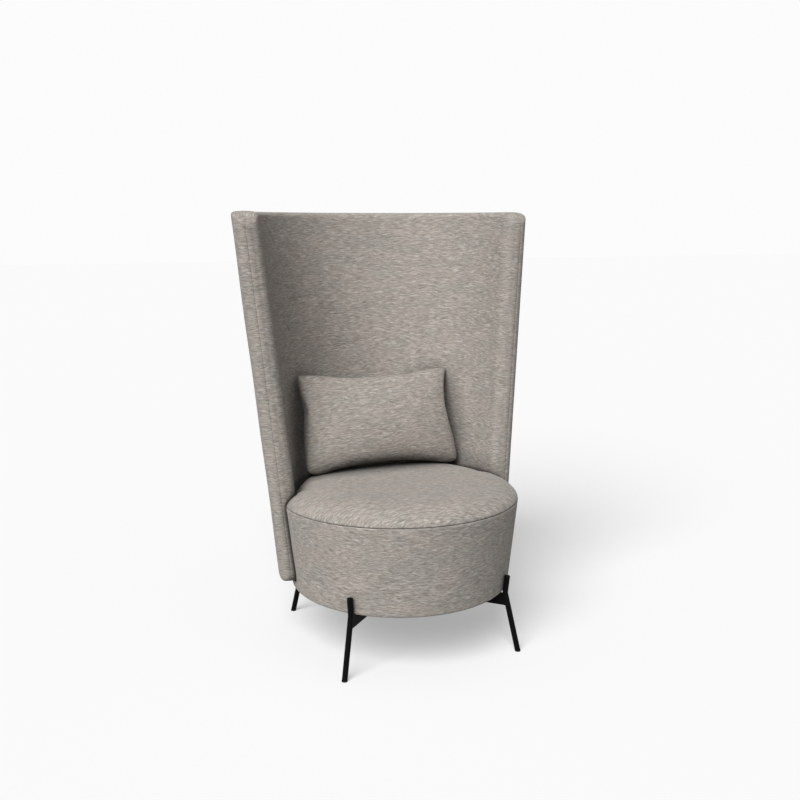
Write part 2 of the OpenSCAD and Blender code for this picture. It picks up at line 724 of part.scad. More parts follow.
leg_front_left();
leg_front_right();
leg_rear_left();
leg_rear_right();
glide_front_left();
glide_front_right();
glide_rear_left();
glide_rear_right();
cross_bar_under();
cross_bar_over();
tab_front_left();
tab_front_right();
tab_rear_left();
tab_rear_right();
frame_screws();
frame_tee_nuts();
seat_base_board();
seat_ring();
post_rear_middle();
post_rear_left();
post_front_left();
post_front_middle();
post_front_right();
post_rear_right();
seat_side_board();
seat_side_foam();
seat_side_cover();
seat_dust_cover();
webbing_across();
webbing_lengthwise();
seat_foam();
seat_wadding();
seat_top_cover();
back_plywood();
back_inner_foam();
back_outer_foam();
back_inner_cover();
back_outer_cover();
back_spacers();
back_bolts();
back_tee_nuts();
cushion_front_panel();
cushion_back_panel();
cushion_filling();
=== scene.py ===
# %% [markdown]
# # A high-backed lounge chair, dressed
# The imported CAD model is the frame: legs, boards and bolts stand in it at their real sizes. This
# lesson puts the soft parts round that frame, gives each surface its cloth, paint or timber, and
# sets the chair on a pale studio floor. All lengths are in metres and +Z is up.

# %% Load the frame
import json
import math

import bmesh
import bpy
import numpy as np
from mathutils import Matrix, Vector


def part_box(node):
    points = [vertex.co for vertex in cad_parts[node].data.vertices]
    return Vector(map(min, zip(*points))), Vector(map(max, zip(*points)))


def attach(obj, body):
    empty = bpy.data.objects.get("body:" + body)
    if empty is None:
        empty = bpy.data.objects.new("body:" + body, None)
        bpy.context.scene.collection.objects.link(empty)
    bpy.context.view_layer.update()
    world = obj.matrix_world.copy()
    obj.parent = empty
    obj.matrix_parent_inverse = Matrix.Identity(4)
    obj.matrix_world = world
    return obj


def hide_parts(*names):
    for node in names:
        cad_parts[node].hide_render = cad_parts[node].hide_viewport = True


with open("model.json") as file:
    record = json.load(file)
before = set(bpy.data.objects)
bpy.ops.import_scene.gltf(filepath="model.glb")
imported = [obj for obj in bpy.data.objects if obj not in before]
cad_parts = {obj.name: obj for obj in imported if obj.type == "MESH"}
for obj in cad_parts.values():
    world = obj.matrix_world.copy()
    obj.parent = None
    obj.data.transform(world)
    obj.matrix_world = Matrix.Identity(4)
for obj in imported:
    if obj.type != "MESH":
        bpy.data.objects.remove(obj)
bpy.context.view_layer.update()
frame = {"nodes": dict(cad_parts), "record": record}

# %% [markdown]
# ## The camera
# A photograph of a round seat tells where its camera stood: the flatness of the seat's ellipse
# gives the tilt, and the narrowing of the legs gives the distance. The camera is placed by its
# distance from the drum's axis, its height, its turn round the chair and its tilt, because these
# four numbers can be corrected one at a time.

# %% Camera
AXIS_Y = -0.0898018
CAMERA_TURN = math.radians(21.3)
CAMERA_TILT = math.radians(10.27)
CAMERA_DISTANCE = 2.793
CAMERA_HEIGHT = 1.222
PHOTO_SIDE = 800
FOCAL_PIXELS = 966
SENSOR_WIDTH = 36

camera_data = bpy.data.cameras.new("camera")
camera_data.sensor_width = SENSOR_WIDTH
camera_data.lens = FOCAL_PIXELS / PHOTO_SIDE * SENSOR_WIDTH
camera = bpy.data.objects.new("camera", camera_data)
camera.location = (-CAMERA_DISTANCE * math.sin(CAMERA_TURN),
                   AXIS_Y - CAMERA_DISTANCE * math.cos(CAMERA_TURN), CAMERA_HEIGHT)
camera.rotation_euler = (math.pi / 2 - CAMERA_TILT, 0, -CAMERA_TURN)
bpy.context.scene.collection.objects.link(camera)
bpy.context.scene.camera = camera
print("lens:", round(camera_data.lens, 2), "mm")

# %% [markdown]
# ## A kit for node trees
# Sky, floor, paint and cloth are trees of nodes, and a few helpers keep their wiring short. The
# first feeds an input with a link or a number, the second makes a node and feeds it, and the others
# give the result of one sum and of one blend of two colours.

# %% Node helpers
def feed(socket, value):
    """Link an input to another socket, or set a number or a colour on it."""
    if isinstance(value, bpy.types.NodeSocket):
        socket.id_data.links.new(value, socket)
    else:
        socket.default_value = value


def add_node(tree, kind, **settings):
    """A node of one kind: keys with a capital feed its inputs, the others are its settings."""
    made = tree.nodes.new(kind)
    for key, value in settings.items():
        if key[0].isupper():
            feed(made.inputs[key.replace("_", " ")], value)
        else:
            setattr(made, key, value)
    return made


def maths(tree, operation, first, second=0.0, kind="ShaderNodeMath"):
    """The result of one sum on two sockets or numbers, or on vectors with a vector kind."""
    made = add_node(tree, kind, operation=operation)
    feed(made.inputs[0], first)
    feed(made.inputs[1], second)
    return made.outputs[0]


def blended(tree, share, first, second):
    """Colour between two colours or sockets, by a share that is a socket or a number."""
    made = add_node(tree, "ShaderNodeMix", data_type="RGBA")
    for place, value in ((0, share), (6, first), (7, second)):
        feed(made.inputs[place], value)
    return made.outputs[2]


# %% [markdown]
# ## Soft studio light
# The chair is lit from the front, a little to the left of the camera, by one wide soft lamp, and
# the white room fills the rest. A sun lamp with a wide angle does this: it lights the whole floor
# evenly, so the floor stays white, and its shadows are soft. The room seen by the camera and in
# reflections is white, while the light that the room gives is lower, so the cloth renders as dark
# as it really is.

# %% Sun and sky
SUN_LEFT = math.radians(22)
SUN_HEIGHT = math.radians(44)
SUN_POWER = 4.05
SUN_WIDTH = math.radians(42)
SKY_POWER = 0.21
SKY_SEEN = (0.97, 0.97, 0.97, 1)
WHITE = (1, 1, 1, 1)

toward_sun = CAMERA_TURN + SUN_LEFT
sun_data = bpy.data.lights.new("sun", "SUN")
sun_data.energy = SUN_POWER
sun_data.angle = SUN_WIDTH
sun = bpy.data.objects.new("sun", sun_data)
sun_from = Vector((-math.sin(toward_sun) * math.cos(SUN_HEIGHT),
                   -math.cos(toward_sun) * math.cos(SUN_HEIGHT), math.sin(SUN_HEIGHT)))
sun.rotation_euler = sun_from.to_track_quat("Z", "Y").to_euler()
bpy.context.scene.collection.objects.link(sun)
bpy.context.scene.view_settings.view_transform = "Standard"


def seen_share(tree):
    """1 for a ray from the camera or a reflection, 0 for light that spreads."""
    path = add_node(tree, "ShaderNodeLightPath")
    seen = path.outputs["Is Camera Ray"]
    for name in ("Is Glossy Ray", "Is Transmission Ray"):
        seen = maths(tree, "MAXIMUM", seen, path.outputs[name])
    return seen


sky = bpy.data.worlds.new("sky")
bpy.context.scene.world = sky
sky.use_nodes = True
sky_tree = sky.node_tree
sky_tree.nodes.clear()
sky_seen = add_node(sky_tree, "ShaderNodeBackground", Color=SKY_SEEN, Strength=1)
sky_given = add_node(sky_tree, "ShaderNodeBackground", Color=WHITE, Strength=SKY_POWER)
sky_mix = add_node(sky_tree, "ShaderNodeMixShader", Fac=seen_share(sky_tree))
feed(sky_mix.inputs[1], sky_given.outputs[0])
feed(sky_mix.inputs[2], sky_seen.outputs[0])
add_node(sky_tree, "ShaderNodeOutputWorld", Surface=sky_mix.outputs[0])
print("sun from", [round(v, 2) for v in sun_from])

# %% [markdown]
# ## The floor
# The floor is one wide plane. Its colour is a pale grey that renders just under white in this
# light and so still shows the chair's soft shadow. For light that bounces it is darker, because a
# photographer's floor of this size would otherwise light the underside more than the photograph
# shows. The kind of ray picks between the two, and a faint glow in what is seen stands for the
# light that a white studio's walls throw into the shadow.

# %% Floor
FLOOR_SIDE = 60
FLOOR_SEEN = (0.54, 0.54, 0.54, 1)
FLOOR_BOUNCE = (0.26, 0.26, 0.26, 1)
FLOOR_GLOW = 0.36

floor_mesh = bpy.data.meshes.new("floor")
half = FLOOR_SIDE / 2
floor_mesh.from_pydata([(-half, -half, 0), (half, -half, 0), (half, half, 0), (-half, half, 0)],
                       [], [(0, 1, 2, 3)])
floor = bpy.data.objects.new("floor", floor_mesh)
bpy.context.scene.collection.objects.link(floor)
floor_paint = bpy.data.materials.new("floor_paint")
floor_paint.use_nodes = True
floor_tree = floor_paint.node_tree
floor_tree.nodes.clear()
floor_path = seen_share(floor_tree)
floor_colour = blended(floor_tree, floor_path, FLOOR_BOUNCE, FLOOR_SEEN)
floor_matt = add_node(floor_tree, "ShaderNodeBsdfDiffuse", Color=floor_colour)
floor_lit = add_node(floor_tree, "ShaderNodeEmission", Color=WHITE,
                     Strength=maths(floor_tree, "MULTIPLY", floor_path, FLOOR_GLOW))
floor_sum = add_node(floor_tree, "ShaderNodeAddShader")
feed(floor_sum.inputs[0], floor_matt.outputs[0])
feed(floor_sum.inputs[1], floor_lit.outputs[0])
add_node(floor_tree, "ShaderNodeOutputMaterial", Surface=floor_sum.outputs[0])
floor.data.materials.append(floor_paint)

# %% [markdown]
# ## A kit for shader groups
# The cloth is used in four materials and the grain of paint, plastic and timber in ten, so each
# effect is a node group: a box with named inputs and outputs that is wired once. The helpers open
# a group with its sockets, stretch a value, give noise with grains of a real size, and turn a
# colour as it reads on a screen into the numbers that a shader takes.

# %% Group helpers
SOCKETS = {"vector": "NodeSocketVector", "colour": "NodeSocketColor", "value": "NodeSocketFloat"}


def new_group(name, takes, gives):
    """A shader group, what it takes and what it gives, from dictionaries of name to kind."""
    group = bpy.data.node_groups.new(name, "ShaderNodeTree")
    for label, kind in takes.items():
        group.interface.new_socket(name=label, in_out="INPUT", socket_type=SOCKETS[kind])
    for label, kind in gives.items():
        group.interface.new_socket(name=label, in_out="OUTPUT", socket_type=SOCKETS[kind])
    inside, outside = group.nodes.new("NodeGroupInput"), group.nodes.new("NodeGroupOutput")
    return group, inside.outputs, outside.inputs


def ramped(tree, value, low, high, to_low=0.0, to_high=1.0):
    """A value stretched from low..high to to_low..to_high and held there."""
    return add_node(tree, "ShaderNodeMapRange", clamp=True, Value=value, From_Min=low,
                    From_Max=high, To_Min=to_low, To_Max=to_high).outputs["Result"]


def noise(tree, where, size, shift, detail, roughness=0.55):
    """Noise whose grains have a size (x, y, z) in metres, as numbers or a socket."""
    grains = maths(tree, "DIVIDE", where, size, "ShaderNodeVectorMath")
    moved = maths(tree, "ADD", grains, (shift, shift, shift), "ShaderNodeVectorMath")
    return add_node(tree, "ShaderNodeTexNoise", Vector=moved, Scale=1, Detail=detail,
                    Roughness=roughness).outputs["Fac"]


def srgb(red, green, blue):
    """A colour written as on a screen, 0 to 255, in the linear numbers that a shader takes."""
    shares = [part / 255 for part in (red, green, blue)]
    return tuple(s / 12.92 if s <= 0.04045 else ((s + 0.055) / 1.055) ** 2.4 for s in shares) + (1,)


# %% [markdown]
# ## Cloth runs round the drum
# The cloth's threads lie level round the chair. A picture mapped with UVs would need unwrapping,
# so the group works from the point's own place instead: the angle round the drum's axis times a
# radius is the run along the cloth, the height is the way across it. Where the angle jumps from
# one side to the other the pattern breaks, and Facing turns that break to the hidden side.

# %% Round coordinates
CLOTH_R = 0.35
round_group, takes, gives = new_group("round the drum", {"Place": "vector", "Facing": "value"},
                                      {"Cloth": "vector"})
split = add_node(round_group, "ShaderNodeSeparateXYZ", Vector=takes["Place"])
from_axis = maths(round_group, "SUBTRACT", split.outputs["Y"], AXIS_Y)
ahead = maths(round_group, "MULTIPLY", from_axis, takes["Facing"])
angle = maths(round_group, "ARCTAN2", split.outputs["X"], ahead)
deep_square = maths(round_group, "MULTIPLY", from_axis, from_axis)
wide_square = maths(round_group, "MULTIPLY", split.outputs["X"], split.outputs["X"])
outward = maths(round_group, "SQRT", maths(round_group, "ADD", deep_square, wide_square))
joined = add_node(round_group, "ShaderNodeCombineXYZ", Y=outward, Z=split.outputs["Z"],
                  X=maths(round_group, "MULTIPLY", angle, CLOTH_R))
feed(gives["Cloth"], joined.outputs[0])
print("round coordinates:", len(round_group.nodes), "nodes")

# %% [markdown]
# ## Melange cloth
# The cover is a woven melange: yarns of beige, grey and dark brown are spun unevenly, so each
# colour surfaces for two or three centimetres and dives again, which reads as short level streaks.
# Two noises stretched along the thread make the pale and the dark streaks, a wide noise drifts the
# ground from warm to cool, and a fine one is the weave itself. The pale streaks and the weave also
# give a height, so they stand up a little as slubs. Where a piece is upright and its cloth turns
# over a rim, Rim 1 lets the run in depth take the place of the height. Each grain is given by its
# length along the thread, in depth and across. Open says how open the cloth lies at a point, and
# where it is shut in the colour falls to a shadow's.

# %% Melange group
PALE_GRAIN = (0.020, 0.020, 0.0029)
DARK_GRAIN = (0.018, 0.018, 0.0028)
DRIFT_GRAIN = (0.10, 0.10, 0.045)
WEAVE_GRAIN = (0.0032, 0.0032, 0.0011)
SWAY_GRAIN = (0.05, 0.05, 0.03)
SWAY = 0.016
PALE_SHARE = 0.95
DARK_SHARE = 0.75
RIM_SLOPE = 0.7
# Painted shade: the step of the groove and crevice value, the depth of the shut-in darkening and
# the shadow's colour.
PAINTED_SHADE_STEP = 0.1
CONTACT_DEPTH = 0.9
SHADOW = (0.02, 0.018, 0.016, 1)

melange, takes, gives = new_group(
    "melange cloth",
    {"Cloth": "vector", "Warm ground": "colour", "Cool ground": "colour", "Pale yarn": "colour",
     "Dark yarn": "colour", "Seam": "value", "Shade": "value", "Rim": "value", "Open": "value"},
    {"Colour": "colour", "Height": "value"})
runs = add_node(melange, "ShaderNodeSeparateXYZ", Vector=takes["Cloth"])
facet = add_node(melange, "ShaderNodeSeparateXYZ",
                 Vector=add_node(melange, "ShaderNodeNewGeometry").outputs["Normal"])
flatness = maths(melange, "ABSOLUTE", facet.outputs["Z"])
lies_flat = maths(melange, "GREATER_THAN", flatness, RIM_SLOPE)
turned_over = maths(melange, "MULTIPLY", lies_flat, takes["Rim"])
swap = maths(melange, "MULTIPLY", turned_over,
             maths(melange, "SUBTRACT", runs.outputs["Y"], runs.outputs["Z"]))
over_rim = add_node(melange, "ShaderNodeCombineXYZ", X=runs.outputs["X"],
                    Y=maths(melange, "SUBTRACT", runs.outputs["Y"], swap),
                    Z=maths(melange, "ADD", runs.outputs["Z"], swap))
place = over_rim.outputs[0]
wander = noise(melange, place, SWAY_GRAIN, 3.1, 1.0)
lift = add_node(melange, "ShaderNodeCombineXYZ",
                Z=maths(melange, "MULTIPLY", maths(melange, "SUBTRACT", wander, 0.5), SWAY))
threads = maths(melange, "ADD", place, lift.outputs[0], "ShaderNodeVectorMath")
pale = noise(melange, threads, PALE_GRAIN, 11.0, 3.0, 0.62)
dark = noise(melange, threads, DARK_GRAIN, 37.0, 3.0, 0.62)
drift = noise(melange, place, DRIFT_GRAIN, 71.0, 2.0, 0.5)
weave = noise(melange, place, WEAVE_GRAIN, 5.0, 2.0, 0.6)
coolness = ramped(melange, drift, 0.36, 0.64)
darkness = ramped(melange, dark, 0.40, 0.70, 0, DARK_SHARE)
paleness = ramped(melange, pale, 0.50, 0.70, 0, PALE_SHARE)
ground = blended(melange, coolness, takes["Warm ground"], takes["Cool ground"])
with_dark = blended(melange, darkness, ground, takes["Dark yarn"])
with_pale = blended(melange, paleness, with_dark, takes["Pale yarn"])
# Painted shade: one share dims the whole piece, a second darkens grooves and crevices, and where
# the cloth lies shut in the colour falls to the shadow's.
bright = maths(melange, "MULTIPLY", ramped(melange, weave, 0.3, 0.7, 0.86, 1.14), takes["Shade"])
flecked = add_node(melange, "ShaderNodeHueSaturation", Value=bright, Color=with_pale)
shade_share = maths(melange, "MULTIPLY", takes["Seam"], PAINTED_SHADE_STEP)
shaded = blended(melange, shade_share, flecked.outputs["Color"], SHADOW)
lit = maths(melange, "POWER", takes["Open"], CONTACT_DEPTH)
feed(gives["Colour"], blended(melange, lit, SHADOW, shaded))
slub = maths(melange, "ADD", maths(melange, "MULTIPLY", pale, 0.6),
             maths(melange, "MULTIPLY", weave, 0.8))
feed(gives["Height"], slub)
print("melange:", len(melange.nodes), "nodes")

# %% [markdown]
# ## From the groups to a cloth material
# Each piece's material works out where the cloth runs, hands that to the melange group and gives
# the result to one Principled BSDF. Its roughness and sheen are the same all over, so they are set
# straight on the shader. Sheen is the pale bloom of fibre ends at a grazing angle. A material's
# shade is painted shade: it makes the shell, the seat's top and the cushion darker than the drum.
# Where two padded pieces lie against each other, shade is painted too: an Ambient Occlusion node
# tells how open a point lies within a few centimetres, and the group darkens the cloth by it. It
# is worked out anew for each pose, so nothing is left on the shell when the cushion is taken out.

# %% Cloth materials
WARM_GROUND = srgb(167, 158, 150)
COOL_GROUND = srgb(157, 153, 146)
PALE_YARN = srgb(192, 185, 178)
DARK_YARN = srgb(108, 102, 95)
SLUB_HEIGHT = 0.0009
# Reach of the Ambient Occlusion that paints shade where the cloth is shut in.
CONTACT_REACH = 0.07


def new_material(name, roughness, **settings):
    """A material with its shader, and the tree they are in."""
    made = bpy.data.materials.new(name)
    made.use_nodes = True
    shader = made.node_tree.nodes["Principled BSDF"]
    shader.inputs["Roughness"].default_value = roughness
    for key, value in settings.items():
        shader.inputs[key.replace("_", " ")].default_value = value
    return made, made.node_tree, shader


def bumped(tree, shader, height, distance):
    """A bump from a height into the shader's normal."""
    bump = add_node(tree, "ShaderNodeBump", Distance=distance, Strength=1, Height=height)
    feed(shader.inputs["Normal"], bump.outputs["Normal"])


def cloth_material(name, run_of_cloth, shade, rim=1.0):
    """Melange cloth dimmed by painted shade; run_of_cloth(tree, place) gives the socket with its
    coordinates.
    """
    made, tree, shader = new_material(name, roughness=0.94, Specular_IOR_Level=0.25,
                                      Sheen_Weight=0.12, Sheen_Roughness=0.45)
    place = add_node(tree, "ShaderNodeTexCoord").outputs["Object"]
    # Painted shade: the points carry a value for grooves and crevices, and an Ambient Occlusion
    # node darkens cloth that lies shut in.
    seam = add_node(tree, "ShaderNodeAttribute", attribute_name="seam")
    nearby = add_node(tree, "ShaderNodeAmbientOcclusion", samples=8, Distance=CONTACT_REACH)
    cloth = add_node(tree, "ShaderNodeGroup", node_tree=melange, Warm_ground=WARM_GROUND,
                     Cool_ground=COOL_GROUND, Pale_yarn=PALE_YARN, Dark_yarn=DARK_YARN,
                     Shade=shade, Rim=rim, Cloth=run_of_cloth(tree, place),
                     Seam=seam.outputs["Fac"], Open=nearby.outputs["AO"])
    feed(shader.inputs["Base Color"], cloth.outputs["Colour"])
    bumped(tree, shader, cloth.outputs["Height"], SLUB_HEIGHT)
    return made


def round_run(facing):
    """Cloth that runs round the drum, broken at the front (1) or at the rear (-1)."""
    def run(tree, place):
        turned = add_node(tree, "ShaderNodeGroup", node_tree=round_group, Facing=facing,
                          Place=place)
        return turned.outputs["Cloth"]
    return run


def flat_run(centre, lean):
    """Cloth that runs along X on a panel with a centre, leaned back from upright by an angle."""
    def run(tree, place):
        turned = add_node(tree, "ShaderNodeVectorRotate", rotation_type="X_AXIS", Center=centre,
                          Angle=lean, Vector=place)
        return turned.outputs[0]
    return run


CUSHION_LEAN = math.radians(20)
SEAT_MIDDLE = (0, 0, 0.46)
panels = [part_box("cushion_front_panel"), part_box("cushion_back_panel")]
CUSHION_CENTRE = tuple((min(box[0][k] for box in panels) + max(box[1][k] for box in panels)) / 2
                       for k in range(3))
# The shell, the seat's top and the cushion are dimmed to 0.92 as painted shade; the drum is not.
shell_cloth = cloth_material("shell_cloth", round_run(1), 0.92)
drum_cloth = cloth_material("drum_cloth", round_run(-1), 1.0)
seat_cloth = cloth_material("seat_cloth", flat_run(SEAT_MIDDLE, math.radians(90)), 0.92, rim=0.0)
cushion_cloth = cloth_material("cushion_cloth", flat_run(CUSHION_CENTRE, CUSHION_LEAN), 0.92)

# %% [markdown]
# ## Meshes from grids of points
# The shell's covers and the cushion are two sheets of points joined at their borders: the face that
# shows and the hidden one behind it. The drum's covers are one grid swept round its axis. A grid is
# easy to reason about, its quads shade smoothly, and a closed body has a real thickness. The
# helpers join the borders, let Blender turn the faces outwards and keep a painted shade for each
# point, which darkens the cloth's colour. The last one gives a padded piece its cloth and its body.

# %% Mesh helpers
def sheet_body(name, front, back, seam=None):
    """A closed object between two grids of points, each an array (columns, rows, 3)."""
    columns, rows = front.shape[:2]
    count = columns * rows
    index = np.arange(count).reshape(columns, rows)
    faces = []
    for i in range(columns - 1):
        for j in range(rows - 1):
            a, b, c, d = index[i, j], index[i, j + 1], index[i + 1, j + 1], index[i + 1, j]
            faces.append((a, b, c, d))
            faces.append((a + count, d + count, c + count, b + count))
    border = list(index[:, 0]) + list(index[-1, 1:]) + list(index[-2::-1, -1])
    border += list(index[0, -2:0:-1])
    for a, b in zip(border, border[1:] + border[:1]):
        faces.append((a, b, b + count, a + count))
    points = np.concatenate([front.reshape(-1, 3), back.reshape(-1, 3)])
    return finished_body(name, points, faces, seam)


def finished_body(name, points, faces, seam=None):
    """An object from points and faces, with outward faces, smooth shading and its painted shade
    values.
    """
    mesh = bpy.data.meshes.new(name)
    mesh.from_pydata([tuple(map(float, p)) for p in points], [],
                     [tuple(map(int, f)) for f in faces])
    made = bmesh.new()
    made.from_mesh(mesh)
    bmesh.ops.recalc_face_normals(made, faces=made.faces)
    made.to_mesh(mesh)
    made.free()
    mesh.shade_smooth()
    shade_attribute = mesh.attributes.new("seam", "FLOAT", "POINT")
    values = np.zeros(len(points), np.float32)
    if seam is not None:
        values[:seam.size] = seam.reshape(-1)
    shade_attribute.data.foreach_set("value", values)
    made_object = bpy.data.objects.new(name, mesh)
    bpy.context.scene.collection.objects.link(made_object)
    print(f"{name}: {len(points)} points, {len(faces)} faces")
    return made_object


def swept(angle, radius, high):
    """Points about the drum's axis, (directions, places), their numbers and the quads between."""
    points = np.stack([radius * np.sin(angle)[:, None],
                       AXIS_Y - radius * np.cos(angle)[:, None], high], axis=-1)
    index = np.arange(radius.size).reshape(radius.shape)
    quads = np.stack([index, np.roll(index, -1, 1), np.roll(index, (-1, -1), (0, 1)),
                      np.roll(index, -1, 0)], axis=-1)
    return points.reshape(-1, 3), index, quads


def upholster(piece, cloth, body, nodes):
    """Cloth for a padded piece, its body and the solids that it stands for."""
    piece.data.materials.append(cloth)
    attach(piece, body)
    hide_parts(*nodes)


# %% [markdown]
# ## The shell's form
# The tall shell is bent plywood, padded on both sides. Its outer face is a cone that leans back,
# wrapped 177 degrees round the seat, and each layer is a depth in from that face. A point is
# given by its swing round the cone from the rear, its depth and its height above the floor.

# %% Shell sizes
SEAT_R = 0.350
SEAM_H = 0.425
CROWN_RISE = 0.053
SEAT_PITCH = math.radians(1.5)
DRUM_BASE_H = 0.173
DRUM_BASE_R = 0.3235
BACK_TOP_H = 1.260
BACK_BASE_H = 0.198
BACK_R = 0.3785
BACK_AXIS_H = 0.350
BACK_LEAN = math.radians(4.2)
FLARE = math.tan(math.radians(5.2))
HALF_WRAP = math.radians(88.5)
BACK_T = 0.075
PLY_OUT = 0.0255
PLY_IN = 0.0375
TIP_R = 0.028
RIM_R = 0.013
CORNER_R = 0.040
LOW_CORNER_R = 0.026
MEAN_R = BACK_R - BACK_T / 2


def shell_point(swing, depth, high):
    """Points of the shell, as an array (..., 3), from arrays of swing, depth and height."""
    lean, across = math.sin(BACK_LEAN), np.cos(swing)
    along = ((high - BACK_AXIS_H + (BACK_R - depth) * across * lean)
             / (math.cos(BACK_LEAN) - FLARE * across * lean))
    r = BACK_R - depth + FLARE * along
    return np.stack([r * np.sin(swing), r * across * math.cos(BACK_LEAN) + along * lean + AXIS_Y,
                     high + 0 * r], axis=-1)


def corner_drop(run, r):
    """How far a rounded front corner draws the edge in, at a run from the tip."""
    return np.where(run < r, r - np.sqrt(np.maximum(0, r * r - (r - run) ** 2)), 0)


# %% [markdown]
# ## Columns and rows of the shell
# Across the shell, a column starts at one front tip, rounds its nose, runs along the face and
# rounds the other nose. Up the shell, a row does the same at the lower and upper edges. Fold says
# how far the inner cover has gone over the edge towards the outside, and tuck how far it has
# dived into the seam there. The columns stand closer where the form curves, and the rows by the
# seat's edge, where the cloth's shade changes fast.

# %% Columns and rows
TUCK_STEPS = ((0.0, 0.0), (0.5, 0.0001), (0.85, 0.0005), (1.0, 0.0040))
FOLD_STEPS = (0.8, 0.65, 0.5, 0.35, 0.2, 0.08)
FOLD_W = 0.03
SEAM_ROLL = 0.0005
# Tuck at which the seam's groove takes its full painted shade.
SEAM_DEEP = 0.002
CLOSE_STEP = 0.0035
CLOSE_RUN = 0.030
SHELL_COLUMNS = 58
SHELL_ROWS = 92
SEAT_ROWS = 26
SEAT_SHARES = (0.20, 0.30)


def edge_steps(r, steps, fold_over):
    """Steps from the seam at an edge to the face: (run, depth, fold, tuck, painted shade)."""
    made = []
    for share, tuck in reversed(TUCK_STEPS):
        roll = SEAM_ROLL * (1 - share)
        depth, fold = (r, 1 - roll / FOLD_W) if fold_over else (r - roll, 0)
        made.append((0, depth, fold, tuck, min(1, tuck / SEAM_DEEP)))
    if fold_over:
        made += [(0, r, fold, 0, 0) for fold in FOLD_STEPS]
    for k in range(steps + 1):
        turn = math.pi / 2 * k / steps
        depth = r * (1 - math.sin(turn))
        if fold_over or depth < r - SEAM_ROLL:
            made.append((r * (1 - math.cos(turn)), depth, 0, 0, 0))
    return made


def shell_grid(fold_over):
    """One cover's columns, their swings, its rows at an edge and the shares of those between."""
    tip = edge_steps(TIP_R, 10, fold_over)
    main_run = (HALF_WRAP - TIP_R / MEAN_R) * MEAN_R
    close = list(np.arange(TIP_R + CLOSE_STEP, TIP_R + CLOSE_RUN, CLOSE_STEP))
    wide = list(np.linspace(TIP_R + CLOSE_RUN, TIP_R + main_run, SHELL_COLUMNS))
    side = tip + [(run, 0, 0, 0, 0) for run in close + wide]
    left = np.array(side)
    columns = np.concatenate([left, left[-2::-1]])
    swing = HALF_WRAP - (columns[:, 0] + columns[:, 3]) / MEAN_R
    swing[:len(left)] *= -1
    rim = np.array(edge_steps(RIM_R, 6, fold_over))
    by_seat = np.linspace(*SEAT_SHARES, SEAT_ROWS)
    shares = np.unique(np.concatenate([np.linspace(0, 1, SHELL_ROWS)[1:-1], by_seat]))
    return columns, swing, rim, shares


# %% [markdown]
# ## From columns and rows to two sheets
# Crossing the columns with the rows gives the sheet that shows. The part that turns over the edge
# is crowned a little, and a long and a shorter wave keep the cloth from looking turned on a lathe.
# The hidden sheet follows at the depth of the plywood and stops short of the edges, so that it
# never comes out of the padding.

# %% Sheets of the shell
HIDDEN_INSET = 0.004
HIDDEN_GAP = 0.001
FOLD_CROWN = 0.0056
LONG_WAVE = 0.0006
SHORT_WAVE = 0.0004


def shell_sheets(fold_over, behind):
    """Front and hidden grids of one cover. behind is the depth of its hidden face."""
    columns, swing, rim, shares = shell_grid(fold_over)
    run, side_depth, side_fold, tuck, side_shade = columns.T[:, :, None]
    low_edge = BACK_BASE_H + corner_drop(run, LOW_CORNER_R)
    high_edge = BACK_TOP_H - corner_drop(run, CORNER_R)
    inward = (rim[:, 0] + rim[:, 3])[None, :]
    low, high = low_edge + inward, high_edge - inward
    middle = low[:, -1:] + (high[:, -1:] - low[:, -1:]) * shares[None, :]
    heights = np.concatenate([low, middle, high[:, ::-1]], axis=1)
    plain = np.zeros(len(shares))

    def over_rows(place):
        return np.concatenate([rim[:, place], plain, rim[::-1, place]])[None, :]

    turned = np.hypot(side_depth, over_rows(1))
    fold = np.maximum(side_fold, over_rows(2))
    seam = np.maximum(side_shade, over_rows(4))
    swings = swing[:, None] + 0 * heights
    crown = FOLD_CROWN * fold * (1 - fold)
    if fold_over:
        depth = BACK_T - turned
        depth = depth + (turned - depth) * fold
    else:
        depth = turned
    inside = np.clip(1 - turned / HIDDEN_INSET, 0, 1)
    ripple = LONG_WAVE * np.sin(swings * 9 + 1.3) * np.sin(heights * 17 + 0.6)
    ripple += SHORT_WAVE * np.sin(swings * 21 + heights * 9)
    outward = np.where(heights > (BACK_TOP_H + BACK_BASE_H) / 2, 1, -1) * (over_rows(2) > 0)
    front = shell_point(swings + np.sign(swings) * crown * (side_fold > 0) / MEAN_R,
                        depth + ripple * inside, heights + crown * outward)
    back_run = np.maximum(run, HIDDEN_INSET) + tuck
    back_swing = np.sign(swings) * (HALF_WRAP - back_run / MEAN_R)
    back_high = np.clip(heights, low_edge + HIDDEN_INSET, high_edge - HIDDEN_INSET)
    if fold_over:
        hidden = np.minimum(behind, depth - HIDDEN_GAP * (fold == 0))
    else:
        hidden = np.maximum(behind, depth + HIDDEN_GAP)
    back = shell_point(back_swing + 0 * heights, hidden, back_high)
    # The inner cover takes painted shade where it comes close to the seat.
    if fold_over:
        seam = seam + crevice_shade(seat_gap(front))
    return front, back, seam


# %% [markdown]
# ## How near the shell comes to the seat
# The shell is covered first and the drum is nested into it, and between the two padded roundings
# runs a crevice that no light reaches. Its depth is more than the covers can show, so shade is
# painted into each cover's colour, growing towards the other as a point's gap closes.

# %% Gap to the seat
DRUM_TAPER = (SEAT_R - DRUM_BASE_R) / (SEAM_H - DRUM_BASE_H)
FULLNESS = 6.5
SHOULDER = 1.65
CREVICE_D = 0.009
CREVICE_W = 0.008
# Strength and reach of the painted shade in the crevice.
CREVICE_DARK = 8
SHADE_W = 0.005


def wall_r(high):
    """Radius of the drum's wall at a height."""
    return DRUM_BASE_R + DRUM_TAPER * (high - DRUM_BASE_H)


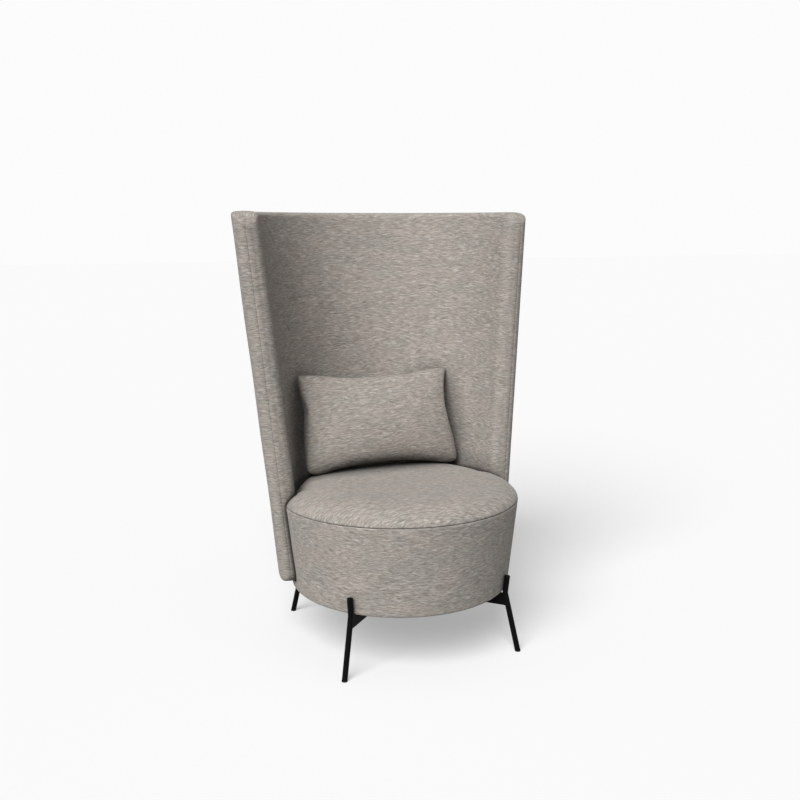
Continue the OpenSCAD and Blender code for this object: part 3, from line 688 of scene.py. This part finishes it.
def crown_at(r):
    """Height of the crown above the seam's plane at a radius."""
    return CROWN_RISE * np.maximum(0, 1 - (r / SEAT_R) ** FULLNESS) ** (1 / SHOULDER)


def seat_gap(points):
    """How far points of the shell are from the drum's wall or from the crown of its top."""
    r = np.hypot(points[..., 0], points[..., 1] - AXIS_Y)
    plane = SEAM_H - (points[..., 1] - AXIS_Y) * math.tan(SEAT_PITCH)
    top = plane + crown_at(np.minimum(r, SEAT_R))
    below = DRUM_BASE_H - points[..., 2]
    return np.maximum(np.maximum(r - wall_r(points[..., 2]), points[..., 2] - top), below)


def crevice_shade(gap):
    """The painted shade that a gap gives."""
    return CREVICE_DARK * np.exp(-(np.maximum(gap, 0) / SHADE_W) ** 1.5)


# %% [markdown]
# ## The two covers of the shell
# The inner cover is one big panel: it runs across the hollow of the shell, turns over the edge all
# round and is sewn to the outer panel along the outer corner. Modelling both as padded bodies that
# meet in a small groove gives that seam its own shadow, and painted shade in the groove deepens it.

# %% Shell covers
inner_front, inner_back, inner_shade = shell_sheets(True, PLY_IN)
shell_inside = sheet_body("shell_inside", inner_front, inner_back, inner_shade)
outer_front, outer_back, outer_shade = shell_sheets(False, PLY_OUT)
shell_outside = sheet_body("shell_outside", outer_front, outer_back, outer_shade)
upholster(shell_inside, shell_cloth, "chair", ("back_inner_cover", "back_inner_foam"))
upholster(shell_outside, shell_cloth, "chair", ("back_outer_cover", "back_outer_foam"))

# %% [markdown]
# ## Where the shell leaves room for the seat
# The drum is nested into the shell: its rear is pressed flat against the padding. A function gives
# the distance from the drum's axis at which the padding starts, for any direction and height, and
# the seat's covers never go further out than that. The padding's own section at each height is
# drawn as a line and read off by angle. The function also tells how far in front of the shell's
# tip a direction is, because the two roundings leave a dark crevice there.

# %% Room for the seat
PRESS_GAP = 0.0012
FREE_R = 9.0
NOSE_RUN = 0.024
NOSE_STEP = 0.0005
EDGE_DROP = 0.0006


def room_at(angle, high):
    """Largest radius of the seat in each direction at each height, and its run to the shell."""
    nose = np.linspace(0, NOSE_RUN - NOSE_STEP, 24)
    run = np.concatenate([nose, np.linspace(NOSE_RUN, 0.5, 60)])
    round_nose = np.sqrt(np.maximum(0, TIP_R ** 2 - np.maximum(0, TIP_R - run) ** 2))
    depth = BACK_T - np.maximum(0, TIP_R - round_nose)
    run = np.concatenate([[0.0], run])
    depth = np.concatenate([[TIP_R], depth])
    swing = HALF_WRAP - run / MEAN_R
    angles, levels = np.broadcast_arrays(angle, high)
    out, ahead = np.full(levels.shape, FREE_R), np.full(levels.shape, FREE_R)
    for level in np.unique(levels):
        if level < BACK_BASE_H - EDGE_DROP:
            continue
        here = levels == level
        line = shell_point(swing, depth, np.full(len(swing), level))
        x, y = line[:, 0], line[:, 1] - AXIS_Y
        bearing = np.arctan2(x, -y)
        radius = np.hypot(x, y)
        order = np.argsort(bearing, kind="stable")
        turned = np.abs(angles[here])
        reach = np.interp(turned, bearing[order], radius[order])
        beside = turned >= bearing.min() - PRESS_GAP / SEAT_R
        out[here] = np.where(beside, reach - PRESS_GAP, FREE_R)
        ahead[here] = np.maximum(0, bearing.min() - turned) * SEAT_R
    return out, ahead


# %% [markdown]
# ## The side of the drum
# A strip of cloth goes round the drum over a centimetre of foam. It is sewn to the top at the seam
# and stapled under the board, so its section is a loop: down the wall, round the lower corner,
# under as a hem, and back up behind the foam. That loop is swept round the axis.

# %% Drum side
HEM_W = 0.038
SIDE_PAD = 0.0115
BASE_ROUND = 0.005
LINE_H = 0.184
HEM_T = 0.0015
TURN_UP_TOP = 0.012
CREVICE_START = 0.03
PRESSED_IN = 0.35
# Drops below the seam where the wall's even rows start, and below the shell's lower edge.
WALL_START = 0.003
SHELL_STEPS = (0.0008, 0.0016)
# The start of the loop, in the groove: drop below the seam, depth and painted shade.
SIDE_GROOVE = ((0.0060, 0.0075, 1.0), (0.0022, 0.0050, 1.0), (0.0006, 0.0030, 0.8),
               (0.0003, 0.0013, 0.25), (0.0008, 0.0004, 0.0), (0.0020, 0.0, 0.0))
# The hem under the board: depth and height above the drum's lower end.
HEM = ((0.020, 0), (HEM_W - 0.002, 0), (HEM_W, 0.0006), (HEM_W - 0.001, 0.0014),
       (SIDE_PAD + 0.004, HEM_T))


def drum_angles():
    """Directions round the drum, closer together where the shell's tips press on it."""
    tips = np.arange(92, 104, 0.4)
    degrees = np.concatenate([np.arange(-180, 180, 1.5), tips, -tips])
    return np.unique(np.round(np.radians(degrees), 5))


def side_section(seam_h):
    """The loop as rows of (height, depth, painted shade); a height is an array or one number."""
    wall_low, wall_high = DRUM_BASE_H + BASE_ROUND, seam_h - WALL_START
    rows = [(seam_h - drop, depth, seam) for drop, depth, seam in SIDE_GROOVE]
    rows += [(wall_high - (wall_high - BACK_BASE_H) * share, 0, 0)
             for share in np.linspace(0, 1, 30)[1:]]
    rows += [(BACK_BASE_H - drop, 0, 0) for drop in SHELL_STEPS]
    rows += [(LINE_H, 0, 0), (wall_low, 0, 0)]
    for turn in (math.pi / 2 * k / 5 for k in range(1, 6)):
        rows.append((wall_low - BASE_ROUND * math.sin(turn), BASE_ROUND * (1 - math.cos(turn)), 0))
    rows += [(DRUM_BASE_H + high, depth, 0) for depth, high in HEM]
    rows += [(DRUM_BASE_H + HEM_T + (seam_h - TURN_UP_TOP - DRUM_BASE_H) * share, SIDE_PAD, 0)
             for share in (0.03, 0.25, 0.5, 0.75, 0.97)]
    return rows


def drum_loop(angle):
    """Radius, height and painted shade arrays (angles, loop points) of the drum side's section."""
    seam_h = SEAM_H + SEAT_R * np.cos(angle)[:, None] * math.tan(SEAT_PITCH)
    highs, depths, groove_shade = zip(*side_section(seam_h))
    heights = np.concatenate([high + 0 * seam_h for high in highs], axis=1)
    depths, groove_shade = np.array(depths)[None, :], np.array(groove_shade)[None, :]
    limit, ahead = room_at(angle[:, None], np.round(heights, 4))
    crevice = CREVICE_D * np.exp(-(ahead / CREVICE_W) ** 1.5) * (depths < CREVICE_D)
    crevice = crevice * np.clip((heights - BACK_BASE_H) / CREVICE_START, 0, 1)
    radius = np.minimum(wall_r(heights) - depths - crevice, limit - PRESSED_IN * depths)
    # Painted shade in the crevice in front of the shell's tips.
    return radius, heights, groove_shade + crevice_shade(ahead) * (depths < CREVICE_D)


angles = drum_angles()
radius, heights, seam = drum_loop(angles)
side_points, index, quads = swept(angles, radius, heights)
drum_side = finished_body("drum_side", side_points, quads.reshape(-1, 4), seam)
upholster(drum_side, drum_cloth, "chair", ("seat_side_cover", "seat_side_foam"))

# %% [markdown]
# ## The crowned top of the seat
# The top is one round of cloth over wadding and deep foam. It is nearly flat in the middle and
# falls quickly to the seam, where it rolls into the groove against the side. It is built as rings
# about the middle, and where the shell stands in the way the rings are held back and pressed
# down a little, as the cloth is on the real seat.

# %% Seat top
SEAT_UNDER_H = 0.372
PRESS_DROP = 0.030
PRESS_W = 0.020
EDGE_IN = 0.0010
# The edge's roll into the groove: step in, rise above the seam and painted shade.
TOP_GROOVE = ((0.0000, 0.0032, 0), (0.0001, 0.0016, 0), (0.0005, 0.0007, 0.2),
              (0.0015, 0.0003, 0.8), (0.0036, -0.0002, 1), (0.0070, -0.0040, 1),
              (0.0110, -0.0100, 0))


def seat_rings(angle):
    """Radius, height and painted shade arrays of the seat top, from the middle out and back under.
    """
    edge = SEAT_R - EDGE_IN
    radii = np.sin(np.pi / 2 * np.linspace(0.02, 0.985, 46)) * edge
    roll = np.array(TOP_GROOVE)
    radius = np.concatenate([radii, edge - roll[:, 0]])[None, :] + 0 * angle[:, None]
    rise = np.concatenate([crown_at(radii), roll[:, 1]])[None, :]
    groove_shade = np.concatenate([0 * radii, roll[:, 2]])[None, :]
    plane = SEAM_H + radius * np.cos(angle)[:, None] * math.tan(SEAT_PITCH)
    high = plane + rise
    limit, ahead = room_at(angle[:, None], np.round(high, 4))
    near = np.clip(limit - radius, 0, 1)
    high = high - PRESS_DROP * np.exp(-(near / PRESS_W) ** 1.5) * (limit < FREE_R)
    crevice = CREVICE_D * np.exp(-(ahead / CREVICE_W) ** 1.5) * (radius > 0.9 * SEAT_R)
    # Painted shade where the top comes close to the shell.
    shade = crevice_shade(np.where(limit < FREE_R, near, ahead + 0.25 * (SEAT_R - radius)))
    radius = np.minimum(radius - crevice, limit)
    under = radius[:, -1:] * np.array([[0.96, 0.5]])
    return (np.concatenate([radius, under], axis=1),
            np.concatenate([high, 0 * under + SEAT_UNDER_H], axis=1),
            np.concatenate([groove_shade + shade, 0 * under], axis=1))


radius, heights, seam = seat_rings(angles)
ring_points, index, quads = swept(angles, radius, heights)
middle_top, middle_under = index.size, index.size + 1
inner, under = index[:, 0], index[:, -1]
seat_faces = list(quads[:, :-1].reshape(-1, 4))
seat_faces += [(middle_top, a, b) for a, b in zip(inner, np.roll(inner, -1))]
seat_faces += [(middle_under, b, a) for a, b in zip(under, np.roll(under, -1))]
middles = [[0, AXIS_Y, SEAM_H + CROWN_RISE], [0, AXIS_Y, SEAT_UNDER_H]]
seat_points = np.concatenate([ring_points, middles])
seat_top = finished_body("seat_top", seat_points, seat_faces, seam)
upholster(seat_top, seat_cloth, "chair", ("seat_top_cover", "seat_wadding", "seat_foam"))

# %% [markdown]
# ## The lumbar cushion
# Two rectangles sewn round the edge and stuffed pull their sides in and leave pointed corners. The
# swell falls steeply to nothing along the sewn edge, as a stuffed bag does, and more gently below,
# where the cushion stands on the seat. The sides are drawn in most a little above their middles,
# because the filling has settled, and the lower edge is bowed up most.

# %% Cushion form
CUSHION_W = 0.496
CUSHION_H = 0.318
CUSHION_T = 0.126
CUSHION_PINCH = 0.016
CUSHION_SWELL = 0.4
CUSHION_SAG = 0.62
CORNER_BLUNT = 0.014
CORNER_REACH = 9
PINCH_LEFT = 0.5
PINCH_RIGHT = 1.1
LOW_BOW = 1.45
LIP = 0.0012


def crowded(share):
    """Shares from -1 to 1 that stand closer together at both ends."""
    return 0.65 * np.sin(np.pi / 2 * share) + 0.35 * share


def cushion_face(side, columns=100, rows=68):
    """Grid of one panel, front (-1) or back (1), in the cushion's own upright frame."""
    u = crowded(np.linspace(-1, 1, columns))[:, None]
    v = crowded(np.linspace(-1, 1, rows))[None, :]
    swell = (np.maximum(0, 1 - u * u) ** CUSHION_SWELL * (1 - 0.06 * v)
             * np.maximum(0, 1 - v * v) ** np.where(v < 0, CUSHION_SAG, CUSHION_SWELL))
    pinch = CUSHION_PINCH * (1 - v * v) * (1 + 0.5 * v) * np.where(u < 0, PINCH_LEFT, PINCH_RIGHT)
    bow = CUSHION_PINCH * (1 - u * u) * np.where(v < 0, LOW_BOW, 1)
    blunt = np.abs(u * v) ** CORNER_REACH * np.where(v < 0, CORNER_BLUNT, CORNER_BLUNT / 2)
    return np.stack([u * (CUSHION_W / 2 - pinch - blunt),
                     side * (LIP + (CUSHION_T / 2 - LIP) * swell),
                     v * (CUSHION_H / 2 - bow - blunt)], axis=-1)


def leaned(points):
    """The cushion's points leaned back and moved to their place against the shell."""
    x, y, z = points[..., 0], points[..., 1], points[..., 2]
    lean, upright = math.sin(CUSHION_LEAN), math.cos(CUSHION_LEAN)
    return np.stack([x, y * upright + z * lean, z * upright - y * lean],
                    axis=-1) + np.array(CUSHION_CENTRE)


cushion = sheet_body("cushion", leaned(cushion_face(-1)), leaned(cushion_face(1)))

# %% [markdown]
# ## Creases from a little cloth simulation
# A stuffed cover is never as smooth as a formula: its panels are cut a little larger than the
# filling, so they buckle along the seams. The cover is grown by a few hundredths and blown up for
# some frames without gravity. Each point may move only a few millimetres from the form, so the
# cushion keeps its size and stays clear of the seat and the shell.

# %% Cushion creases
CREASE_FRAMES = 16
CREASE_CAP = 0.007
COVER_CLOTH = {"quality": 6, "mass": 0.2, "tension_stiffness": 25, "compression_stiffness": 25,
               "shear_stiffness": 12, "bending_stiffness": 0.15, "use_pressure": True,
               "uniform_pressure_force": 3, "shrink_min": -0.055}


def read_points(mesh):
    """The points of a mesh as an array."""
    flat = np.zeros(len(mesh.vertices) * 3)
    mesh.vertices.foreach_get("co", flat)
    return flat.reshape(-1, 3)


def creased(piece):
    """Blow the piece up as cloth for some frames and keep the result within the cap."""
    start = read_points(piece.data)
    cloth = piece.modifiers.new("cloth", "CLOTH")
    for key, value in COVER_CLOTH.items():
        setattr(cloth.settings, key, value)
    cloth.settings.effector_weights.gravity = 0
    cloth.point_cache.frame_end = CREASE_FRAMES + 1
    for step in range(1, CREASE_FRAMES + 1):
        bpy.context.scene.frame_set(step)
    shaped = piece.evaluated_get(bpy.context.evaluated_depsgraph_get())
    moved = read_points(shaped.data) - start
    piece.modifiers.remove(cloth)
    bpy.context.scene.frame_set(1)
    length = np.linalg.norm(moved, axis=1, keepdims=True)
    moved *= CREASE_CAP * np.tanh(length / CREASE_CAP) / np.maximum(length, 1e-9)
    piece.data.vertices.foreach_set("co", (start + moved).reshape(-1))
    piece.data.update()
    print("creases move the cover by up to", round(float(length.max()) * 1000, 1), "mm")


creased(cushion)

# %% [markdown]
# ## The cushion is seated
# The creased cover may now reach a little into the shell or the seat. The points that do are
# drawn back along the cushion's depth or lifted, as padding gives way where it is pressed.

# %% Cushion seated
REST_GAP = 0.0008

points = read_points(cushion.data)
swings = np.linspace(-1.4, 1.4, 281)
behind = np.array([np.interp(x, *shell_point(swings, BACK_T, np.full(swings.size, z))[:, :2].T)
                   for x, _, z in points])
points[:, 1] = np.minimum(points[:, 1], behind - REST_GAP)
from_middle = np.hypot(points[:, 0], points[:, 1] - AXIS_Y)
seat_high = (SEAM_H - (points[:, 1] - AXIS_Y) * math.tan(SEAT_PITCH)
             + crown_at(np.minimum(from_middle, SEAT_R)))
lifted = np.maximum(points[:, 2], np.where(from_middle < SEAT_R, seat_high + REST_GAP, 0))
print("cushion lifted by up to", round(float((lifted - points[:, 2]).max()) * 1000, 1), "mm")
points[:, 2] = lifted
cushion.data.vertices.foreach_set("co", points.reshape(-1))
cushion.data.update()
upholster(cushion, cushion_cloth, "cushion",
          ("cushion_front_panel", "cushion_back_panel", "cushion_filling"))

# %% [markdown]
# ## Black cloth under the seat
# A thin black lining closes the drum from below, with an opening for each tab of the leg frame.
# The openings line up with the crossing bars, so the lining is cut from a grid of squares turned
# with the bars: squares inside an opening or beyond the rim are left out.

# %% Lining
LINING_R = DRUM_BASE_R - HEM_W + 0.004
TAB_CIRCLE_R = 0.195
TAB_HALF_L = 0.0245
TAB_HALF_W = 0.0295
LINING_T = 0.0008
LINING_H = 0.1720
SQUARE = 0.011
SAG = 0.0012
RIM_W = 0.02


def lining_lines():
    """Grid lines: the openings' edges, and others about a centimetre apart between them."""
    fixed = [0, TAB_HALF_W, TAB_CIRCLE_R - TAB_HALF_L, TAB_CIRCLE_R + TAB_HALF_L, LINING_R]
    lines = []
    for low, high in zip(fixed, fixed[1:]):
        lines += list(np.linspace(low, high, max(2, round((high - low) / SQUARE)) + 1)[:-1])
    lines.append(LINING_R)
    return np.array([-line for line in lines[:0:-1]] + lines)


def lining_body():
    """The lining as a closed thin body."""
    lines = lining_lines()
    count = len(lines)
    turn = math.radians(45)
    kept = []
    for i in range(count - 1):
        for j in range(count - 1):
            x, y = (lines[i] + lines[i + 1]) / 2, (lines[j] + lines[j + 1]) / 2
            far, near = max(abs(x), abs(y)), min(abs(x), abs(y))
            in_tab = abs(far - TAB_CIRCLE_R) < TAB_HALF_L and near < TAB_HALF_W
            if math.hypot(x, y) < LINING_R - 0.002 and not in_tab:
                kept.append((i, j))
    used = sorted({(i + a, j + b) for i, j in kept for a in (0, 1) for b in (0, 1)})
    place = {corner: n for n, corner in enumerate(used)}
    rings = [((i, j), (i + 1, j), (i + 1, j + 1), (i, j + 1)) for i, j in kept]
    edges = {pair: True for ring in rings for pair in zip(ring, ring[1:] + ring[:1])}
    border = [pair for pair in edges if pair[::-1] not in edges]
    rim = {corner for pair in border for corner in pair
           if math.hypot(lines[corner[0]], lines[corner[1]]) > LINING_R - RIM_W}
    points = []
    for i, j in used:
        x, y = lines[i], lines[j]
        r = math.hypot(x, y)
        if (i, j) in rim:
            x, y = x * LINING_R / r, y * LINING_R / r
        sag = SAG * math.sin(x * 31 + 1) * math.sin(y * 27) * max(0, 1 - r / LINING_R)
        points.append((x * math.cos(turn) - y * math.sin(turn),
                       x * math.sin(turn) + y * math.cos(turn) + AXIS_Y, LINING_H + sag))
    total = len(points)
    points += [(x, y, z + LINING_T) for x, y, z in points]
    faces = []
    for ring in rings:
        corners = [place[corner] for corner in ring]
        faces.append(corners[::-1])
        faces.append([n + total for n in corners])
    for a, b in border:
        faces.append((place[a], place[b], place[b] + total, place[a] + total))
    return finished_body("seat_lining", points, faces)


seat_lining = lining_body()
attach(seat_lining, "chair")
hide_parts("seat_dust_cover")

# %% [markdown]
# ## Paint, plastic, zinc and timber
# The leg frame is black powder coat: a fine orange-peel with slightly uneven gloss. The screws are
# zinc plated and the wood inside is birch and beech. All of them mix two close tones with a noise
# at the size of the real grain, and the same noise moves the gloss and a small bump, so one group
# serves them with different numbers.

# %% Grain group
grain_group, takes, gives = new_group(
    "two-tone grain",
    {"Place": "vector", "Grain size": "vector", "First tone": "colour", "Second tone": "colour",
     "Low roughness": "value", "High roughness": "value"},
    {"Colour": "colour", "Roughness": "value", "Height": "value"})
grain = noise(grain_group, takes["Place"], takes["Grain size"], 2.0, 3.0)
share = ramped(grain_group, grain, 0.35, 0.65)
tone = blended(grain_group, share, takes["First tone"], takes["Second tone"])
gloss = ramped(grain_group, grain, 0.3, 0.7, takes["Low roughness"], takes["High roughness"])
for socket, value in (("Colour", tone), ("Roughness", gloss), ("Height", grain)):
    feed(gives[socket], value)
print("two-tone grain:", len(grain_group.nodes), "nodes")

# %% [markdown]
# ## A material for each slot
# The record names a material slot for every solid. Each slot gets one material here, and every
# solid takes its own from this table.

# %% Frame materials
def toned_material(name, first, second, size, roughness, bump, rough_step=0.1, **settings):
    """A material of two tones in a grain of a size, with a bump from the same grain."""
    made, tree, shader = new_material(name, roughness, **settings)
    place = add_node(tree, "ShaderNodeTexCoord").outputs["Object"]
    toned = add_node(tree, "ShaderNodeGroup", node_tree=grain_group, Place=place, Grain_size=size,
                     First_tone=(*first, 1), Second_tone=(*second, 1),
                     Low_roughness=roughness - rough_step, High_roughness=roughness + rough_step)
    feed(shader.inputs["Base Color"], toned.outputs["Colour"])
    feed(shader.inputs["Roughness"], toned.outputs["Roughness"])
    bumped(tree, shader, toned.outputs["Height"], bump)
    return made


FOAM = ((0.6, 0.54, 0.38), (0.75, 0.68, 0.5), (0.004,) * 3, 0.9, 0.0003, 0.05)
# For each slot its material's name, two tones, grain size, roughness and bump, and a last number
# where the roughness moves by another step than usual.
FINISHES = {
    "black_powder_coat": ("powder_coat", (0.002,) * 3, (0.005,) * 3, (0.0012,) * 3, 0.45, 0.0001),
    "glide_nylon": ("nylon", (0.012,) * 3, (0.02,) * 3, (0.002,) * 3, 0.6, 0.0001),
    "zinc_steel": ("zinc", (0.55, 0.56, 0.58), (0.68, 0.69, 0.70), (0.003,) * 3, 0.32, 0.00005),
    "birch_plywood": ("birch", (0.55, 0.38, 0.2), (0.68, 0.5, 0.3), (0.004, 0.06, 0.0015), 0.6,
                      0.0002),
    "beech_timber": ("beech", (0.5, 0.33, 0.2), (0.64, 0.45, 0.29), (0.004, 0.004, 0.05), 0.6,
                     0.0002),
    "fibreboard": ("hardboard", (0.22, 0.14, 0.08), (0.32, 0.21, 0.13), (0.002,) * 3, 0.7, 0.0001),
    "elastic_webbing": ("webbing", (0.04, 0.04, 0.038), (0.1, 0.1, 0.095), (0.002, 0.03, 0.002),
                        0.85, 0.0003),
    "black_lining": ("lining", (0.008,) * 3, (0.02,) * 3, (0.0025,) * 3, 0.9, 0.0002, 0.05),
    "upholstery_foam": ("upholstery_foam_inside", *FOAM),
    "polyester_fibre": ("polyester_fibre_inside", *FOAM),
}
EXTRAS = {"black_powder_coat": {"Specular_IOR_Level": 0.04}, "zinc_steel": {"Metallic": 1.0}}
SLOT_MATERIALS = {slot: toned_material(*finish, **EXTRAS.get(slot, {}))
                  for slot, finish in FINISHES.items()}
SLOT_MATERIALS["taupe_melange_fabric"] = shell_cloth
seat_lining.data.materials.append(SLOT_MATERIALS["black_lining"])
for row in frame["record"]["subparts"]:
    node_object = frame["nodes"][row["node"]]
    node_object.data.materials.clear()
    node_object.data.materials.append(SLOT_MATERIALS[row["material_slot"]])
print("materials:", len(bpy.data.materials))
